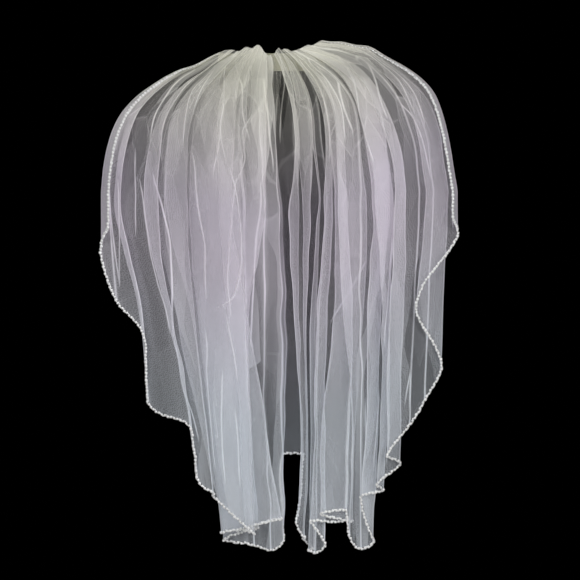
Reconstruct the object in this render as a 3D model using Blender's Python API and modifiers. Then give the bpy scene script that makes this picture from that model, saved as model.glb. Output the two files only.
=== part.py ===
"""Bridal veil: one gathered sheet of fine net with a beaded edge, on a hair comb.

Metres, +Z up. The origin is at the middle of the gathered seam, where the comb
holds the veil. The veil is seen from its outside along +Y, and the comb lies
behind it at +Y.
"""

import math

import bmesh
import bpy
import numpy as np

MM = 0.001

# Net sheet
WALL = 1.0 * MM
SHOULDER_Z = -210 * MM
MID_Z = -390 * MM
LOW_Z = -570 * MM
HEM_Z = -720 * MM
FOLD_DEPTH = 195 * MM
GATHER_DEPTH = 45 * MM
REAR_DEPTH = 0.13
# The cloth hangs round an axis this far to the right of the comb's middle
HANG_SHIFT = 18 * MM
HALF_WIDTH = 270 * MM
# Away from that axis the sides sweep back towards the wearer, beyond SWEEP_START
SIDE_SWEEP = 105 * MM
SWEEP_START = 40 * MM
HEM_TUCK = 0.25
FOLD_ROUND = 3.5 * MM
INSET_SHARE = 0.3
WIDE_PANEL = 1.5
COLUMN_STEP = 18 * MM
SKIRT_ROWS = 6

# Gather: the net leaves the seam narrow and spreads as a dome down to the shoulder
GATHER_RATIO = 0.29
# Rows of the dome: share of the way out from the gather, and of the way down at the
# left side and at the right side
DOME_ROWS = (
    (0.0, 0.0, 0.0), (0.12, 0.042, 0.01), (0.24, 0.086, 0.025), (0.38, 0.145, 0.05),
    (0.55, 0.235, 0.115), (0.7, 0.33, 0.21), (0.84, 0.468, 0.36), (0.92, 0.62, 0.6),
    (0.975, 0.82, 0.88), (1.0, 1.0, 1.0),
)
# Height of the gathered edge, in millimetres, by how far from the axis it hangs below
SEAM_LINE = (
    (-290, 1), (-190, 2), (-128, 6), (-60, 6), (-20, -1), (20, -1), (60, 6), (107, 2),
    (155, 5), (245, 14),
)

# Beaded edging, gathering band and comb
SEAM_GAP = 0.3 * MM
BEAD_RADIUS = 1.4 * MM
BEAD_START = 1
MITRE_LIMIT = 1.6
BAND_SIZE = (162 * MM, 1.6 * MM, 27 * MM)
BAND_ROUND = 0.5 * MM
COMB_SPINE = (104 * MM, 3.0 * MM, 6.0 * MM)
COMB_TOOTH = (1.8 * MM, 1.6 * MM, 36 * MM)
TOOTH_COUNT = 20
TOOTH_TIP = 0.45
BAND_Z = -12 * MM
COMB_Z = -9 * MM

# One row a fold edge or a section, in millimetres, from the left side edge round to the
# right. The x columns are how far right of the axis it hangs at the shoulder, the middle,
# low down and at the hem. depth runs from 0 at the rear to 1 at the front, and hem is
# the height of the cut edge.
FOLD_COLUMNS = ("name", "shoulder", "mid", "low", "bottom", "depth", "hem")
FOLDS = (
    ("left edge", -260, -264, -264, -264, 1.06, -261),
    ("left roll", -272, -273, -273, -273, 0.95, -295),
    ("left wing hem", -260, -248, -242, -242, 0.905, -370),
    ("left ribbon out", -243, -209, -203, -203, 0.86, -430),
    ("left ribbon in", -253, -215, -200, -198, 0.80, -520),
    ("left inner out", -189, -166, -135, -130, 0.755, -566),
    ("left inner in", -212, -174, -138, -120, 0.71, -632),
    ("left wedge out", -143, -133, -112, -95, 0.66, -658),
    ("left wedge in", -173, -137, -115, -98, 0.61, -662),
    ("front point", -60, -55, -49, -43, 0.55, -719),
    ("point back", -100, -82, -66, -56, 0.49, -711),
    ("slanting fold", -80, -53, -25, 3, 0.43, -697),
    ("left second in", -140, -128, -108, -91, 0.37, -720),
    ("left third out", -24, -50, -46, -36, 0.315, -712),
    ("left rear in", -176, -163, -125, -91, 0.26, -731),
    ("left hem dip", -60, -55, -48, -43, 0.21, -739),
    ("left hem low", -32, -28, -25, -17, 0.17, -747),
    ("left rear out", -3, 0, -2, 2, 0.10, -728),
    ("valley left", 1, 4, 0, -16, -0.13, -606),
    ("valley right", 26, 24, 28, 32, -0.13, -604),
    ("first panel left", 12, 17, 25, 19, 0.12, -700),
    ("first panel right", 46, 35, 36, 31, 0.12, -729),
    ("slot left", 33, 30, 34, 29, -0.10, -731),
    ("slot right", 59, 52, 49, 46, -0.10, -748),
    ("second panel left", 53, 43, 41, 35, 0.08, -747),
    ("first tongue tip", 64, 55, 50, 46, 0.14, -752),
    ("second panel right", 73, 67, 61, 62, 0.20, -735),
    ("first tongue in", 60, 50, 44, 39, 0.25, -702),
    ("bridge out", 122, 119, 106, 102, 0.295, -703),
    ("loop in", 76, 75, 58, 56, 0.34, -690),
    ("loop out", 97, 104, 100, 94, 0.385, -684),
    ("second tongue in", 84, 90, 106, 100, 0.43, -721),
    ("second tongue tip", 118, 116, 118, 117, 0.475, -743),
    ("second tongue out", 160, 146, 141, 134, 0.52, -730),
    ("right diagonal in", 137, 125, 124, 110, 0.565, -663),
    ("right loop out", 164, 157, 157, 146, 0.61, -654),
    ("right loop in", 136, 146, 143, 139, 0.655, -645),
    ("right side out", 185, 183, 174, 170, 0.705, -612),
    ("right side in", 165, 160, 154, 152, 0.75, -602),
    ("right side hem", 200, 194, 189, 188, 0.785, -556),
    ("right side rise", 221, 215, 211, 210, 0.795, -519),
    ("right outer fold", 244, 238, 234, 234, 0.84, -470),
    ("right lapel fold", 210, 197, 195, 195, 0.895, -376),
    ("right roll", 260, 262, 262, 262, 0.955, -270),
    ("right edge", 252, 260, 260, 260, 1.06, -249),
)

COLLECTION = "bridal_veil"
NET_COLOUR = (0.78, 0.77, 0.72, 1.0)
BEAD_COLOUR = (0.88, 0.87, 0.84, 1.0)
BAND_COLOUR = (0.72, 0.69, 0.58, 1.0)
COMB_COLOUR = (0.82, 0.82, 0.80, 1.0)


def clear_scene():
    for old in list(bpy.data.objects):
        bpy.data.objects.remove(old, do_unlink=True)


def material(name, colour, roughness, metallic=0.0):
    made = bpy.data.materials.new(name)
    made.use_nodes = True
    shader = made.node_tree.nodes["Principled BSDF"]
    shader.inputs["Base Color"].default_value = colour
    shader.inputs["Roughness"].default_value = roughness
    shader.inputs["Metallic"].default_value = metallic
    return made


def add_object(name, data, collection, finish):
    made = bpy.data.objects.new(name, data)
    made.data.materials.append(finish)
    collection.objects.link(made)
    return made


def fold_column(name):
    """One column of FOLDS as an array; lengths come out in metres from the comb."""
    at = FOLD_COLUMNS.index(name)
    values = np.array([row[at] for row in FOLDS], dtype=float)
    if name == "depth":
        return values
    return values * MM if name == "hem" else values * MM + HANG_SHIFT


def limited_slopes(at, values):
    """Slopes of a curve through values that turns only at the fold edges themselves."""
    steps = np.diff(at)
    rates = np.diff(values) / steps
    slopes = np.zeros(len(values))
    before, after = rates[:-1], rates[1:]
    same_way = before * after > 0
    weight_a = 2 * steps[1:] + steps[:-1]
    weight_b = steps[1:] + 2 * steps[:-1]
    safe_before = np.where(same_way, before, 1.0)
    safe_after = np.where(same_way, after, 1.0)
    mean = (weight_a + weight_b) / (weight_a / safe_before + weight_b / safe_after)
    slopes[1:-1] = np.where(same_way, mean, 0.0)
    slopes[0], slopes[-1] = rates[0], rates[-1]
    return slopes


def hermite(at, values, slopes, where):
    """Cubic curve through values with the given slopes, read at each of where."""
    left = np.clip(np.searchsorted(at, where, side="right") - 1, 0, len(at) - 2)
    span = at[left + 1] - at[left]
    t = (where - at[left]) / span
    rise = values[left + 1] - values[left]
    start = (t**3 - 2 * t**2 + t) * span * slopes[left]
    end = (t**3 - t**2) * span * slopes[left + 1]
    return values[left] + rise * (3 * t**2 - 2 * t**3) + start + end


def fold_stations():
    """Distance of each fold edge from the left side edge, along the shoulder's line."""
    run = np.diff(fold_column("shoulder"))
    step = np.diff(fold_column("depth")) * FOLD_DEPTH
    return np.concatenate(([0.0], np.cumsum(np.hypot(run, step))))


def fold_insets(stations):
    """Length of the rounded part at each end of a panel, where x turns by FOLD_ROUND."""
    length = np.diff(stations)
    return np.minimum(np.sqrt(FOLD_ROUND * length / 3), INSET_SHARE * length)


def sheet_columns(stations):
    """Places of the mesh columns: the fold edges and the level part of each panel."""
    places = [stations[0]]
    for start, end, inset in zip(stations, stations[1:], fold_insets(stations)):
        count = max(1, round((end - start - 2 * inset) / COLUMN_STEP))
        places.extend(np.linspace(start + inset, end - inset, count + 1))
        places.append(end)
    return np.array(places)


def hanging_x(levels, z):
    """x of a column at height z below the shoulder, eased through the four levels."""
    heights = np.array((SHOULDER_Z, MID_Z, LOW_Z, HEM_Z))
    drops = SHOULDER_Z - heights
    rates = np.diff(levels) / np.diff(drops)
    slopes = np.array((0.0, (rates[0] + rates[1]) / 2, (rates[1] + rates[2]) / 2, rates[2]))
    drop = np.minimum(SHOULDER_Z - z, drops[-1])
    return hermite(drops, levels, slopes, drop)


def stack_depth(z):
    """Depth of the whole stack of folds: small at the gather, most at the shoulder."""
    spread = math.sin(math.pi / 2 * min(max(z / SHOULDER_Z, 0.0), 1.0))
    hang = min(max((SHOULDER_Z - z) / (SHOULDER_Z - HEM_Z), 0.0), 1.0)
    return (GATHER_DEPTH + (FOLD_DEPTH - GATHER_DEPTH) * spread) * (1 - HEM_TUCK * hang)


def side_sweep(reach):
    """How far back the cloth lies at this reach from the axis it hangs round."""
    return SIDE_SWEEP * (max(abs(reach) - SWEEP_START, 0.0) / (HALF_WIDTH - SWEEP_START)) ** 2


def seam_height(reach):
    """Height of the gathered edge over the cloth that hangs at this reach."""
    at, height = np.array(SEAM_LINE, dtype=float).T * MM
    return float(hermite(at, height, limited_slopes(at, height), np.array([reach]))[0])


def sheet_column(levels, place, hem):
    """Points of one mesh column, from the seam over the shoulder down to the hem."""
    shoulder_x = levels[0]
    reach = shoulder_x - HANG_SHIFT
    seam_x = reach * GATHER_RATIO
    seam_z = seam_height(reach)
    rightward = min(max((reach + HALF_WIDTH) / (2 * HALF_WIDTH), 0.0), 1.0)
    points = []
    for out, down_left, down_right in DOME_ROWS:
        down = down_left + (down_right - down_left) * rightward
        x = seam_x + (shoulder_x - seam_x) * out
        z = seam_z + (SHOULDER_Z - seam_z) * down
        points.append((x, side_sweep(reach) * down - place * stack_depth(z), z))
    for row in range(1, SKIRT_ROWS + 1):
        z = SHOULDER_Z + (hem - SHOULDER_Z) * row / SKIRT_ROWS
        x = float(hanging_x(levels, np.array([z]))[0])
        points.append((x, side_sweep(x - HANG_SHIFT) - place * stack_depth(z), z))
    return points


def stacked(stations, places):
    """Place in the stack of each mesh column: wide panels are level between their folds."""
    depth = fold_column("depth")
    step = np.diff(depth)
    wide = np.abs(np.diff(fold_column("shoulder"))) > WIDE_PANEL * np.abs(step) * FOLD_DEPTH
    insets = fold_insets(stations)
    share = np.where(wide, 0.5, insets / np.diff(stations))
    at = np.stack((stations[:-1], stations[:-1] + insets, stations[1:] - insets), axis=1)
    value = np.stack((depth[:-1], depth[:-1] + share * step, depth[1:] - share * step), axis=1)
    at = np.append(at.ravel(), stations[-1])
    value = np.append(value.ravel(), depth[-1])
    return (np.interp(places, at, value) + REAR_DEPTH) / (1 + REAR_DEPTH)


def sheet_grid():
    """The net's middle surface as an array of columns, rows and x, y, z."""
    stations = fold_stations()
    places = sheet_columns(stations)
    read = {}
    for name in ("shoulder", "mid", "low", "bottom", "hem"):
        values = fold_column(name)
        read[name] = hermite(stations, values, limited_slopes(stations, values), places)
    depth = stacked(stations, places)
    columns = []
    for i in range(len(places)):
        levels = np.array([read[name][i] for name in ("shoulder", "mid", "low", "bottom")])
        columns.append(sheet_column(levels, depth[i], read["hem"][i]))
    return np.array(columns)


def build_net(grid, collection):
    columns, rows = grid.shape[:2]
    mesh = bpy.data.meshes.new("veil_net")
    points = [tuple(p) for p in grid.reshape(-1, 3)]
    faces = [
        (c * rows + r, c * rows + r + 1, (c + 1) * rows + r + 1, (c + 1) * rows + r)
        for c in range(columns - 1)
        for r in range(rows - 1)
    ]
    mesh.from_pydata(points, [], faces)
    mesh.shade_smooth()
    net = add_object("veil_net", mesh, collection, material("net_tulle", NET_COLOUR, 0.6))
    wall = net.modifiers.new("wall", "SOLIDIFY")
    wall.thickness = WALL
    wall.offset = 0.0
    wall.use_even_offset = False
    wall.use_quality_normals = True
    return net


def unit(vectors):
    return vectors / np.linalg.norm(vectors, axis=1, keepdims=True)


def edge_route(grid):
    """The middle of the beaded edging: just outside the sheet's sides and hem."""
    start = BEAD_START
    edge = np.concatenate((grid[0, start:-1], grid[:, -1], grid[-1, start:-1][::-1]))
    inner = np.concatenate((grid[1, start:-1], grid[:, -2], grid[-2, start:-1][::-1]))
    along = unit(np.diff(edge, axis=0))
    away = (edge - inner)[:-1] + (edge - inner)[1:]
    away = unit(away - along * np.sum(away * along, axis=1, keepdims=True))
    first = np.concatenate((away[:1], away))
    second = np.concatenate((away, away[-1:]))
    bisector = unit(first + second)
    mitre = 1 / np.maximum(np.sum(bisector * second, axis=1, keepdims=True), 1 / MITRE_LIMIT)
    return edge + bisector * mitre * (SEAM_GAP + BEAD_RADIUS)


def build_edging(grid, collection):
    route = edge_route(grid)
    curve = bpy.data.curves.new("bead_edging", "CURVE")
    curve.dimensions = "3D"
    curve.bevel_depth = BEAD_RADIUS
    curve.bevel_resolution = 1
    curve.use_fill_caps = True
    spline = curve.splines.new("POLY")
    spline.points.add(len(route) - 1)
    for point, place in zip(spline.points, route):
        point.co = (*place, 1.0)
    return add_object("bead_edging", curve, collection, material("beads", BEAD_COLOUR, 0.25))


def cube_mesh(name, size):
    mesh = bpy.data.meshes.new(name)
    shape = bmesh.new()
    bmesh.ops.create_cube(shape, size=1.0)
    bmesh.ops.scale(shape, vec=size, verts=shape.verts)
    shape.to_mesh(mesh)
    shape.free()
    return mesh


def build_band(collection):
    """Ribbon that the gathered edge is sewn to."""
    band = add_object(
        "gather_band",
        cube_mesh("gather_band", BAND_SIZE),
        collection,
        material("ribbon", BAND_COLOUR, 0.5),
    )
    band.location = (0.0, WALL / 2 + SEAM_GAP + BAND_SIZE[1] / 2, BAND_Z)
    round_over = band.modifiers.new("round_over", "BEVEL")
    round_over.width = BAND_ROUND
    round_over.segments = 2
    return band


def build_comb(collection, cutters):
    """Hair comb behind the ribbon: a spine with tapered teeth that hang down."""
    spine = add_object(
        "hair_comb",
        cube_mesh("hair_comb", COMB_SPINE),
        collection,
        material("clear_comb", COMB_COLOUR, 0.2),
    )
    band_back = WALL / 2 + SEAM_GAP + BAND_SIZE[1]
    spine.location = (0.0, band_back + SEAM_GAP + COMB_SPINE[1] / 2, COMB_Z)
    mesh = bpy.data.meshes.new("comb_teeth")
    shape = bmesh.new()
    pitch = (COMB_SPINE[0] - COMB_TOOTH[0]) / (TOOTH_COUNT - 1)
    for k in range(TOOTH_COUNT):
        tooth = bmesh.ops.create_cube(shape, size=1.0)["verts"]
        bmesh.ops.scale(shape, vec=COMB_TOOTH, verts=tooth)
        tip = [v for v in tooth if v.co.z < 0]
        bmesh.ops.scale(shape, vec=(TOOTH_TIP, TOOTH_TIP, 1.0), verts=tip)
        x = pitch * (k - (TOOTH_COUNT - 1) / 2)
        bmesh.ops.translate(shape, vec=(x, 0.0, -COMB_TOOTH[2] / 2), verts=tooth)
    shape.to_mesh(mesh)
    shape.free()
    teeth = bpy.data.objects.new("comb_teeth", mesh)
    cutters.objects.link(teeth)
    teeth.location = spine.location
    teeth.hide_render = True
    teeth.display_type = "WIRE"
    join = spine.modifiers.new("teeth", "BOOLEAN")
    join.operation = "UNION"
    join.object = teeth
    return spine


def main():
    clear_scene()
    collection = bpy.data.collections.new(COLLECTION)
    cutters = bpy.data.collections.new("cutters")
    bpy.context.scene.collection.children.link(collection)
    bpy.context.scene.collection.children.link(cutters)
    grid = sheet_grid()
    build_net(grid, collection)
    build_edging(grid, collection)
    build_band(collection)
    build_comb(collection, cutters)


main()
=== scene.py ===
"""Bridal veil of gathered ivory tulle with a beaded edge, sewn to a ribbon and a hair comb."""

import math

import bpy
import numpy as np
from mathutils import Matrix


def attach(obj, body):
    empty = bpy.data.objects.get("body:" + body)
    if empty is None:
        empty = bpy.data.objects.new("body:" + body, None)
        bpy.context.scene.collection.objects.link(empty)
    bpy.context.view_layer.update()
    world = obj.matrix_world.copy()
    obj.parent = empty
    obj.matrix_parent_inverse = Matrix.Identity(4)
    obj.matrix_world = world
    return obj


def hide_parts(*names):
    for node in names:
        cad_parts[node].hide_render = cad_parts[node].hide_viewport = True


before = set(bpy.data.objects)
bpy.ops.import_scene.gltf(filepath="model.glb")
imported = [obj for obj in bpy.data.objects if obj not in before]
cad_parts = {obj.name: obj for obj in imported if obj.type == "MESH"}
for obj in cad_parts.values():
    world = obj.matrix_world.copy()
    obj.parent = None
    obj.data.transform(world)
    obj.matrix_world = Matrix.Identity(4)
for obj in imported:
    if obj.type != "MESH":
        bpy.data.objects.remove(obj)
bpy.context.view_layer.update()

MM = 0.001
RANDOM = np.random.default_rng(41)

# Net sheet: the same sizes as its solid
SHOULDER_Z = -210 * MM
MID_Z = -390 * MM
LOW_Z = -570 * MM
HEM_Z = -720 * MM
FOLD_DEPTH = 195 * MM
GATHER_DEPTH = 45 * MM
REAR_DEPTH = 0.13
HANG_SHIFT = 18 * MM
HALF_WIDTH = 270 * MM
SIDE_SWEEP = 105 * MM
SWEEP_START = 40 * MM
HEM_TUCK = 0.25
FOLD_ROUND = 3.5 * MM
INSET_SHARE = 0.3
WIDE_PANEL = 1.5
GATHER_RATIO = 0.29

# Thin net draws in to the ribbon over the last stretch below the seam
SEWN_SHARE = 0.42
SEWN_REACH = 45 * MM

# Fineness of the visible sheet
COLUMN_STEP = 4 * MM
INSET_STEPS = (0.3, 0.62, 1.0)
DOME_STEPS = 58
SKIRT_STEPS = 66

DOME_ROWS = (
    (0.0, 0.0, 0.0), (0.12, 0.042, 0.01), (0.24, 0.086, 0.025), (0.38, 0.145, 0.05),
    (0.55, 0.235, 0.115), (0.7, 0.33, 0.21), (0.84, 0.468, 0.36), (0.92, 0.62, 0.6),
    (0.975, 0.82, 0.88), (1.0, 1.0, 1.0),
)
SEAM_LINE = (
    (-290, 1), (-190, 2), (-128, 6), (-60, 6), (-20, -1), (20, -1), (60, 6), (107, 2),
    (155, 5), (245, 14),
)
FOLD_COLUMNS = ("name", "shoulder", "mid", "low", "bottom", "depth", "hem")
FOLDS = (
    ("left edge", -260, -264, -264, -264, 1.06, -261),
    ("left roll", -272, -273, -273, -273, 0.95, -295),
    ("left wing hem", -260, -248, -242, -242, 0.905, -370),
    ("left ribbon out", -243, -209, -203, -203, 0.86, -430),
    ("left ribbon in", -253, -215, -200, -198, 0.80, -520),
    ("left inner out", -189, -166, -135, -130, 0.755, -566),
    ("left inner in", -212, -174, -138, -120, 0.71, -632),
    ("left wedge out", -143, -133, -112, -95, 0.66, -658),
    ("left wedge in", -173, -137, -115, -98, 0.61, -662),
    ("front point", -60, -55, -49, -43, 0.55, -719),
    ("point back", -100, -82, -66, -56, 0.49, -711),
    ("slanting fold", -80, -53, -25, 3, 0.43, -697),
    ("left second in", -140, -128, -108, -91, 0.37, -720),
    ("left third out", -24, -50, -46, -36, 0.315, -712),
    ("left rear in", -176, -163, -125, -91, 0.26, -731),
    ("left hem dip", -60, -55, -48, -43, 0.21, -739),
    ("left hem low", -32, -28, -25, -17, 0.17, -747),
    ("left rear out", -3, 0, -2, 2, 0.10, -728),
    ("valley left", 1, 4, 0, -16, -0.13, -606),
    ("valley right", 26, 24, 28, 32, -0.13, -604),
    ("first panel left", 12, 17, 25, 19, 0.12, -700),
    ("first panel right", 46, 35, 36, 31, 0.12, -729),
    ("slot left", 33, 30, 34, 29, -0.10, -731),
    ("slot right", 59, 52, 49, 46, -0.10, -748),
    ("second panel left", 53, 43, 41, 35, 0.08, -747),
    ("first tongue tip", 64, 55, 50, 46, 0.14, -752),
    ("second panel right", 73, 67, 61, 62, 0.20, -735),
    ("first tongue in", 60, 50, 44, 39, 0.25, -702),
    ("bridge out", 122, 119, 106, 102, 0.295, -703),
    ("loop in", 76, 75, 58, 56, 0.34, -690),
    ("loop out", 97, 104, 100, 94, 0.385, -684),
    ("second tongue in", 84, 90, 106, 100, 0.43, -721),
    ("second tongue tip", 118, 116, 118, 117, 0.475, -743),
    ("second tongue out", 160, 146, 141, 134, 0.52, -730),
    ("right diagonal in", 137, 125, 124, 110, 0.565, -663),
    ("right loop out", 164, 157, 157, 146, 0.61, -654),
    ("right loop in", 136, 146, 143, 139, 0.655, -645),
    ("right side out", 185, 183, 174, 170, 0.705, -612),
    ("right side in", 165, 160, 154, 152, 0.75, -602),
    ("right side hem", 200, 194, 189, 188, 0.785, -556),
    ("right side rise", 221, 215, 211, 210, 0.795, -519),
    ("right outer fold", 244, 238, 234, 234, 0.84, -470),
    ("right lapel fold", 210, 197, 195, 195, 0.895, -376),
    ("right roll", 260, 262, 262, 262, 0.955, -270),
    ("right edge", 252, 260, 260, 260, 1.06, -249),
)

# How close the net's threads lie at a fold where it is bunched or pulled flat, at the
# shoulder and at the low line; 1 elsewhere
THREADS = {
    "left edge": (1.4, 1.4), "left roll": (1.3, 1.3), "left wing hem": (1.3, 1.2),
    "left ribbon out": (1.2, 1.3), "left ribbon in": (1.3, 1.1), "left inner out": (0.85, 1.5),
    "left inner in": (0.95, 1.7),
    "left wedge out": (0.75, 1.4), "left wedge in": (0.6, 1.4), "front point": (0.4, 1.0),
    "point back": (0.45, 0.8), "slanting fold": (0.45, 0.8), "left second in": (0.35, 1.1),
    "left third out": (1.3, 1.9), "left rear in": (0.4, 1.2), "left hem dip": (1.9, 2.2),
    "left hem low": (2.1, 1.6), "left rear out": (1.6, 2.0), "valley left": (0.45, 0.7),
    "valley right": (0.45, 0.7), "first panel left": (0.7, 1.3),
    "first panel right": (0.7, 1.3), "slot left": (0.5, 0.85), "slot right": (0.6, 0.85),
    "second panel left": (0.7, 1.1), "bridge out": (1.0, 0.8), "loop out": (1.0, 0.8),
    "second tongue tip": (1.7, 1.5), "second tongue out": (1.6, 1.6),
    "right diagonal in": (1.5, 1.6), "right loop out": (1.4, 1.4), "right loop in": (1.5, 1.5),
    "right side out": (1.4, 1.1), "right side in": (1.3, 1.0), "right side hem": (1.2, 1.0),
    "right outer fold": (0.75, 1.0), "right lapel fold": (0.75, 1.0),
}

# Creases: the fold that starts their panel, half width in millimetres,
# strength, then a path of x and z in millimetres. Each panel's run from left to right.
CREASES = (
    ("left wing hem", 1.5, 1.3, ((-244, -188), (-237, -268), (-226, -349))),
    ("left wing hem", 1.2, 1.1, ((-229, -194), (-226, -261), (-226, -349))),
    ("left ribbon in", 1.2, 1.1, ((-203, -149), (-204, -209), (-201, -276))),
    ("left ribbon in", 1.3, 1.2, ((-197, -194), (-188, -253), (-180, -291), (-150, -420))),
    ("left ribbon in", 1.4, 1.3, ((-112, -24), (-148, -57), (-168, -92), (-180, -134))),
    ("left inner in", 1.6, 1.7, ((-180, -182), (-165, -238), (-153, -291), (-145, -432))),
    ("left inner in", 1.2, 1.3, ((-98, -30), (-121, -63), (-127, -101), (-130, -149))),
    ("left inner in", 1.6, 1.6, ((-145, -432), (-136, -484), (-124, -551), (-115, -589))),
    ("left inner in", 1.3, 1.1, ((-139, -484), (-121, -533), (-106, -581))),
    ("left wedge in", 1.3, 1.0, ((-97, -417), (-92, -522), (-85, -626))),
    ("left wedge in", 1.5, 1.6, ((-73, -18), (-70, -72), (-74, -112), (-67, -164))),
    ("left wedge in", 1.4, 1.2, ((-72, -480), (-74, -551), (-70, -644))),
    ("left wedge in", 1.4, 1.2, ((-66, -395), (-57, -447), (-51, -492))),
    ("left wedge in", 1.3, 1.1, ((-55, -536), (-49, -589), (-45, -648))),
    ("left wedge in", 1.5, 1.9, ((-61, -179), (-46, -238), (-44, -305), (-54, -365), (-80, -386))),
    ("left wedge in", 1.4, 1.7, ((-50, -190), (-63, -268), (-65, -330), (-60, -395))),
    ("left wedge in", 1.4, 1.6, ((-112, -150), (-108, -230), (-98, -300), (-95, -370))),
    ("left hem dip", 1.4, 1.9, ((-17, -200), (-24, -283), (-28, -372), (-29, -440))),
    ("left second in", 1.3, 1.5, ((-58, -60), (-73, -92), (-77, -134), (-83, -188))),
    ("left second in", 1.3, 1.4, ((-52, -12), (-42, -54), (-45, -92), (-37, -134))),
    ("left second in", 1.2, 1.3, ((-31, -92), (-46, -122), (-42, -164), (-55, -209))),
    ("left hem low", 1.5, 1.6, ((-19, -3), (-4, -63), (1, -119), (4, -176))),
    ("left inner in", 1.2, 1.2, ((-89, -24), (-106, -57), (-115, -92))),
    ("valley left", 1.3, 1.5, ((10, 3), (19, -36), (22, -80), (25, -134))),
    ("first tongue in", 1.3, 1.4, ((43, -9), (69, -51), (77, -101), (82, -158))),
    ("first tongue in", 1.5, 1.6, ((142, -307), (118, -355), (88, -405))),
    ("bridge out", 1.3, 1.5, ((106, -92), (98, -110), (91, -125))),
    ("second tongue in", 1.3, 1.4, ((55, -3), (88, -42), (103, -83), (110, -134))),
    ("second tongue in", 1.5, 1.7, ((79, 6), (100, -36), (106, -80), (121, -122))),
    ("second tongue tip", 1.4, 1.0, ((142, -522), (142, -571), (140, -626))),
    ("right diagonal in", 1.3, 1.0, ((161, -514), (158, -571), (155, -626))),
    ("right loop in", 1.5, 1.7, ((94, 9), (121, -24), (136, -63), (142, -113), (153, -164))),
    ("right loop in", 1.4, 1.2, ((182, -283), (177, -346), (170, -440))),
    ("right loop in", 1.3, 1.0, ((176, -522), (174, -571), (171, -614))),
    ("right side in", 1.3, 1.4, ((103, 9), (145, -18), (165, -57), (177, -101))),
    ("right side in", 1.3, 1.1, ((212, -459), (206, -492), (200, -527))),
    ("right side hem", 1.2, 1.2, ((189, -74), (210, -101), (221, -140), (234, -188))),
    ("right lapel fold", 1.3, 1.5, ((121, 6), (168, -18), (198, -51), (213, -92))),
    ("right lapel fold", 1.3, 1.3, ((150, -3), (189, -30), (216, -66), (228, -110))),
    ("right lapel fold", 1.2, 1.2, ((270, -212), (271, -265))),
)
CREASE_REACH = 9.0 * MM
CREASE_FADE = 32 * MM
# The bright line of a crease, as a share of its half width
CREASE_LINE = 0.62
# A crease stands on a soft ridge: half width in widths of its line, and height
CREASE_RIDGE = (5.0, 1.4 * MM)

# Loops and peaks of net that stand up along the seam: x, height and half width
SEAM_PEAKS = (
    (-68, 4, 6), (-58, 5, 7), (-36, 6, 6), (-20, 10, 7), (9, 12, 3.5), (22, 3, 6),
    (36, 4, 8), (52, 6, 9), (72, 4, 9),
)
# Swells of the dome beyond the seam: x, distance from the seam, height and both half widths
SWELLS = ((112, 30, 5, 26, 30), (148, 72, 6, 26, 30), (-112, 45, -3, 20, 30))
PEAK_REACH = 18 * MM
PUFF_HEIGHT = 2.0 * MM
PUFF_PITCH = 17 * MM

# Unevenness of the folds: sideways wander, ripples from the gather and slack lower down.
# Each wander has its reach, its cell across and down the cloth, and its share lower down.
WANDERS = (
    (10.0 * MM, 42 * MM, 135 * MM, 0.2),
    (3.0 * MM, 70 * MM, 170 * MM, 0.8),
    (1.7 * MM, 60 * MM, 40 * MM, 1.0),
)
WANDER_FADE = (130 * MM, 220 * MM)
RIPPLE_DEPTH = 0.005
RIPPLE_PITCH = 15 * MM
RIPPLE_FADE = 260 * MM
SLACK_DEPTH = 0.012
SLACK_PITCH = (60 * MM, 190 * MM)
HEM_WAVE = 2.2 * MM
HEM_WAVE_PITCH = 17 * MM

# Share of light that the threads of one flat layer stop, and what changes it; the gather
# has a value for the middle of the comb and one for the side edges
NET_DENSITY = 0.222
GATHER_GAIN = (0.05, 0.85)
# Threads on a fold's edge: at the gather and at the hem
CREST_GAIN = (1.6, 7.0)
CREST_WIDTH = 0.7 * MM
CREST_PITCH = (23 * MM, 70 * MM)
HEM_GAIN = 0.08
HEM_REACH = 60 * MM
CREASE_GAIN = 4.6
HEX_PITCH = 2.3 * MM
STREAK_PITCH = (15 * MM, 190 * MM)
STREAK_GAIN = 0.22
# Crushed net: flats with creases between them. Cell across and down the cloth, bend of
# the cells, tone of the flats (painted light and shade of flats tilted to the lamps) and strength of the creases
CRUSH_LONG = (34 * MM, 380 * MM, 22 * MM, 0.46, 0.0)
CRUSH_SHORT = (19 * MM, 90 * MM, 12 * MM, 0.6, 0.14)
CRUSH_LINE = 1.0 * MM
EDGE_ON = 0.4
CRUSH_BEND_PITCH = (48 * MM, 75 * MM)
CRUSH_PATCHES = (75 * MM, 150 * MM)
CRUSH_FADE = (110 * MM, 290 * MM)

# Beads
SEAM_GAP = 0.3 * MM
EDGE_RADIUS = 1.4 * MM
BEAD_START = 3
BEAD_PITCH = 2.7 * MM
BEAD_SIZE = 1.45 * MM
PEARL_SIZE = 2.25 * MM
PEARL_EVERY = 2
BEAD_WANDER = 1.3 * MM
# The smallest beads are at the gather, and they grow over this length of the edge
BEAD_LEAST = 0.4
BEAD_RISE = 150 * MM
BEAD_SIDES = 8
BEAD_RINGS = 6
THREAD_RADIUS = 0.22 * MM
THREAD_SIDES = 5

# Ribbon and comb, as their solids
WALL = 1.0 * MM
BAND_SIZE = (162 * MM, 1.6 * MM, 27 * MM)
BAND_Z = -12 * MM
COMB_SPINE = (104 * MM, 3.0 * MM, 6.0 * MM)
COMB_Z = -9 * MM
TOOTH_COUNT = 20
TOOTH_WIDTH = 1.8 * MM

# What hangs the veil in the room
COMB_HEIGHT = 1.65
FLOOR_RADIUS = 0.8


# ---------------------------------------------------------------- sheet


def fold_column(name):
    """One column of FOLDS as an array; lengths come out in metres from the comb."""
    at = FOLD_COLUMNS.index(name)
    values = np.array([row[at] for row in FOLDS], dtype=float)
    if name == "depth":
        return values
    return values * MM if name == "hem" else values * MM + HANG_SHIFT


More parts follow.
